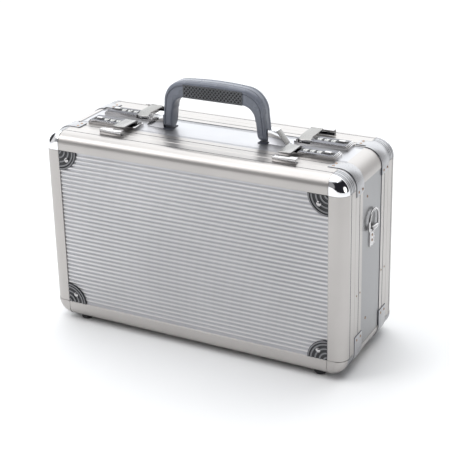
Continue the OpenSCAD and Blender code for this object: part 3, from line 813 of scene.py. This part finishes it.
def build_lid_linings():
    """Quilted lining tray in each lid."""
    wall, floor_t, hem = 2.4, 2.6, 6.0
    back = PANEL_RECESS + PANEL_T
    for name, face in LIDS:
        node = name + "_lid_liner"
        low, high = (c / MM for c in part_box(node))
        depth = high.y - low.y
        w, h = high.x - wall, (high.z - low.z) / 2 - wall
        bm = bmesh.new()
        loop = quilted_grid(bm, w, h, lambda x, z, edge: face * (
            HALF_D - back - floor_t * (SEWN + FILLED * quilt(x, z) * min(1.0, edge / hem))))
        rows_up = [loop]
        for out, v in ((0.0, depth - 1.2), (0.35 * wall, depth - 0.2), (0.8 * wall, depth - 0.2),
                       (wall, depth - 1.0), (wall, 0.0)):
            rows_up.append([bm.verts.new((p.co.x * (1 + out / w), face * (HALF_D - back - v),
                                          Z_MID + (p.co.z - Z_MID) * (1 + out / h))) for p in loop])
        for a, b in zip(rows_up, rows_up[1:]):
            skin_loops(bm, a, b)
        bm.faces.new(rows_up[-1])
        lining = make_object(name + "_quilted_lining", bm, MATERIALS["lining"], sharp=50.0)
        stand_for(lining, node)


def build_divider_pads():
    """Quilted pads on both faces of the divider."""
    reach, thick, hem = 10.0, 2.4, 5.0
    w, h = PANEL_W + reach, PANEL_H + reach
    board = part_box("divider")[1].y / MM
    for name, face in LIDS:
        bm = bmesh.new()
        rim = quilted_grid(bm, w, h, lambda x, z, edge: face * (
            board + thick * min(1.0, 0.15 + edge / hem) * (SEWN + FILLED * quilt(x, z))))
        back = [bm.verts.new((v.co.x, face * (board - 0.1), v.co.z)) for v in rim]
        skin_loops(bm, rim, back)
        bm.faces.new(back)
        pad = make_object(name + "_divider_pad", bm, MATERIALS["lining"], sharp=50.0)
        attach(pad, "case")


# ---- Assembly ----

def dress_frame():
    """Gives every carried-over CAD node the material of its slot."""
    for name, obj in frame["nodes"].items():
        obj.data.materials.clear()
        obj.data.materials.append(MATERIALS[NODE_SLOT[name]])
    frame["nodes"]["top_panel"].data.materials[0] = TOP_SHEET
    frame["nodes"]["body_rivets"].data.materials[0] = COPPER


def build_painted_seam_shadows():
    """Painted shadow: thin dark strips standing for the shade round the corner brackets and under the bases
    of the top fittings.
    """
    bm = bmesh.new()
    lip = 0.6
    bracket_start, bracket_w, toe_w = 1.0, 22.0, 17.0
    leg_top, leg_low, toe = 10.0, 21.0, 14.0
    low, high = bracket_start - lip, bracket_start + bracket_w + 0.3
    section = [(RIM - 0.5, low), (RIM + 0.3, low), (RIM + 0.3, high), (RIM - 0.5, high)]
    for face in (-1, 1):
        for sx in (-1, 1):
            for sz, leg in ((1, leg_top), (-1, leg_low)):
                fan = corner_path(sx, sz)
                side = ((sx * PANEL_W, sz * (PANEL_H - leg - lip)), (sx, 0))
                end = ((sx * (PANEL_W - toe - lip), sz * PANEL_H), (0, sz))
                swept(bm, section, [side] + fan, PART_Y, face)
                narrow = [(p, min(v, bracket_start + toe_w + lip)) for p, v in section]
                swept(bm, narrow, [fan[-1], end], PART_Y, face)
    sheet_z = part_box("top_panel")[1].z / MM
    for ends in ((-HANDLE_W + 0.5, -HANDLE_W + LEG), (HANDLE_W - LEG, HANDLE_W - 0.5)):
        add_box(bm, (ends[0], -HANDLE_T + 1, sheet_z - 0.3), (ends[1], HANDLE_T - 1, sheet_z + 1.0))
    painted_seam_shadows = make_object("fitting_painted_seam_shadows", bm, SEAM_PAINTED_SHADE)
    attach(painted_seam_shadows, "case")


def build_fittings():
    """Brackets, lugs, liners, keepers and feet, softened and shaded."""
    build_painted_seam_shadows()
    softened("corner_brackets", 0.4, 2, COLLAR)
    wedges = softened("handle_brackets", 1.6, 3, MATERIALS["corner_chrome"])
    shade_faces(wedges, MATERIALS["hasp_steel"], lambda c, n: 0.2 < n.z < 0.8 and abs(n.y) < 0.1)
    # Painted shade: the wedge's side bevels are near-black.
    shade_faces(wedges, EDGE_PAINTED_SHADE, lambda c, n: 0.35 < abs(n.y) < 0.9 and n.z < 0.6)
    softened("strap_lugs", 0.3)
    softened("compartment_liners", 0.8)
    for lid in ("front", "rear"):
        keepers = softened(lid + "_lid_keepers", 0.35)
        # Painted shade: the keepers' lowest band and undersides are near-black.
        shade_faces(keepers, EDGE_PAINTED_SHADE, lambda c, n: c.z < Z_TOP + 1.4 or n.z < -0.5)
        softened(lid + "_lid_feet", 0.8, 3)


def build_stage():
    """A wide pale floor under the case."""
    bm = bmesh.new()
    span = 6000.0
    corners = [(-span, -span, 0), (span, -span, 0), (span, span, 0), (-span, span, 0)]
    bm.faces.new([bm.verts.new(c) for c in corners])
    mat, shader = new_material("floor", (0.94, 0.94, 0.94), 0.0, 0.9)
    vary_colour(mat, shader, noise_at(mat, EVEN, 3.0), (0.935, 0.935, 0.935), (0.945, 0.945, 0.945))
    make_object("floor", bm, mat)


def area_light(name, place, size, power, target=(0, 0, 0.13)):
    """A square soft light of a size in metres and a power in watts, aimed at a target."""
    light = bpy.data.lights.new(name, "AREA")
    light.shape = "SQUARE"
    light.size = size
    light.energy = power
    obj = bpy.data.objects.new(name, light)
    obj.location = place
    obj.rotation_euler = (Vector(target) - Vector(place)).to_track_quat("-Z", "Y").to_euler()
    bpy.context.scene.collection.objects.link(obj)


# The studio's walls, and the patches laid over them one after the other: colour, direction, and
# the cosines of the angles where the patch begins and where it is full.
WALLS = (0.76, 0.76, 0.77)
SKY = (
    ((0.02, 0.02, 0.025), (0.72, -0.62, 0.40), 0.30, 0.42),
    ((0.32, 0.32, 0.33), (-0.38, -0.85, 0.36), 0.86, 0.92),
    ((1.90, 1.90, 1.90), (0.97, -0.10, 0.22), 0.955, 0.975),
    ((1.25, 1.28, 1.31), (-0.3, 0.1, 1.0), 0.62, 0.80),
    ((1.88, 1.92, 1.96), (-0.45, 0.85, 0.35), 0.55, 0.82),
    ((0.05, 0.05, 0.055), (-0.98, 0.15, 0.12), 0.90, 0.95),
)


def world_patch(tree, direction, start, end):
    """1 inside a soft round patch of the sky about a direction and 0 outside it."""
    coord = tree.nodes.new("ShaderNodeTexCoord")
    dot = tree.nodes.new("ShaderNodeVectorMath")
    dot.operation = "DOT_PRODUCT"
    dot.inputs[1].default_value = Vector(direction).normalized()
    soft = tree.nodes.new("ShaderNodeMapRange")
    soft.interpolation_type = "SMOOTHSTEP"
    soft.inputs["From Min"].default_value = start
    soft.inputs["From Max"].default_value = end
    tree.links.new(coord.outputs["Generated"], dot.inputs[0])
    tree.links.new(dot.outputs["Value"], soft.inputs["Value"])
    return soft.outputs["Result"]


def mix_in(tree, below, colour, factor):
    """Lays a colour by a factor over what is below it, or over the grey of the walls."""
    mix = tree.nodes.new("ShaderNodeMixRGB")
    mix.inputs["Color1"].default_value = (*WALLS, 1.0)
    mix.inputs["Color2"].default_value = (*colour, 1.0)
    tree.links.new(factor, mix.inputs["Fac"])
    if below is not None:
        tree.links.new(below, mix.inputs["Color1"])
    return mix.outputs["Color"]


def build_light():
    """A pale studio: grey walls, a bright ceiling and far side, and a dark patch to the front right."""
    world = bpy.data.worlds.new("studio")
    world.use_nodes = True
    tree = world.node_tree
    sky = None
    for colour, direction, start, end in SKY:
        sky = mix_in(tree, sky, colour, world_patch(tree, direction, start, end))
    tree.links.new(sky, tree.nodes["Background"].inputs["Color"])
    bpy.context.scene.world = world
    area_light("key_softbox", (-1.6, -1.6, 2.2), 1.4, 18)
    area_light("ceiling_softbox", (0.0, 0.0, 2.6), 2.5, 24)
    bpy.context.scene.view_settings.view_transform = "Standard"


CAMERA_PLACE = (0.726, -1.330, 0.799)
CAMERA_TURN = (-28.30, 21.31, -1.43)  # yaw, pitch down and roll, in degrees
CAMERA_LENS = 99.4
CAMERA_SHIFT = -0.1


def build_camera():
    """Long lens, above and to the right of the front."""
    yaw, pitch, roll = (math.radians(a) for a in CAMERA_TURN)
    ahead = Vector((math.sin(yaw) * math.cos(pitch), math.cos(yaw) * math.cos(pitch), -math.sin(pitch)))
    across = Vector((math.cos(yaw), -math.sin(yaw), 0))
    up = across.cross(ahead)
    right = across * math.cos(roll) + up * math.sin(roll)
    up = up * math.cos(roll) - across * math.sin(roll)
    data = bpy.data.cameras.new("camera")
    data.sensor_width = 36.0
    data.lens = CAMERA_LENS
    data.shift_y = CAMERA_SHIFT
    data.clip_end = 60.0
    camera = bpy.data.objects.new("camera", data)
    camera.matrix_world = Matrix.Translation(CAMERA_PLACE) @ Matrix(
        (right, up, -ahead)).transposed().to_4x4()
    bpy.context.scene.collection.objects.link(camera)
    bpy.context.scene.camera = camera


dress_frame()
build_lid_frames()
build_body_bands()
build_panels()
build_pads()
build_handle()
build_latches()
build_fittings()
build_lid_linings()
build_divider_pads()
build_stage()
build_light()
build_camera()
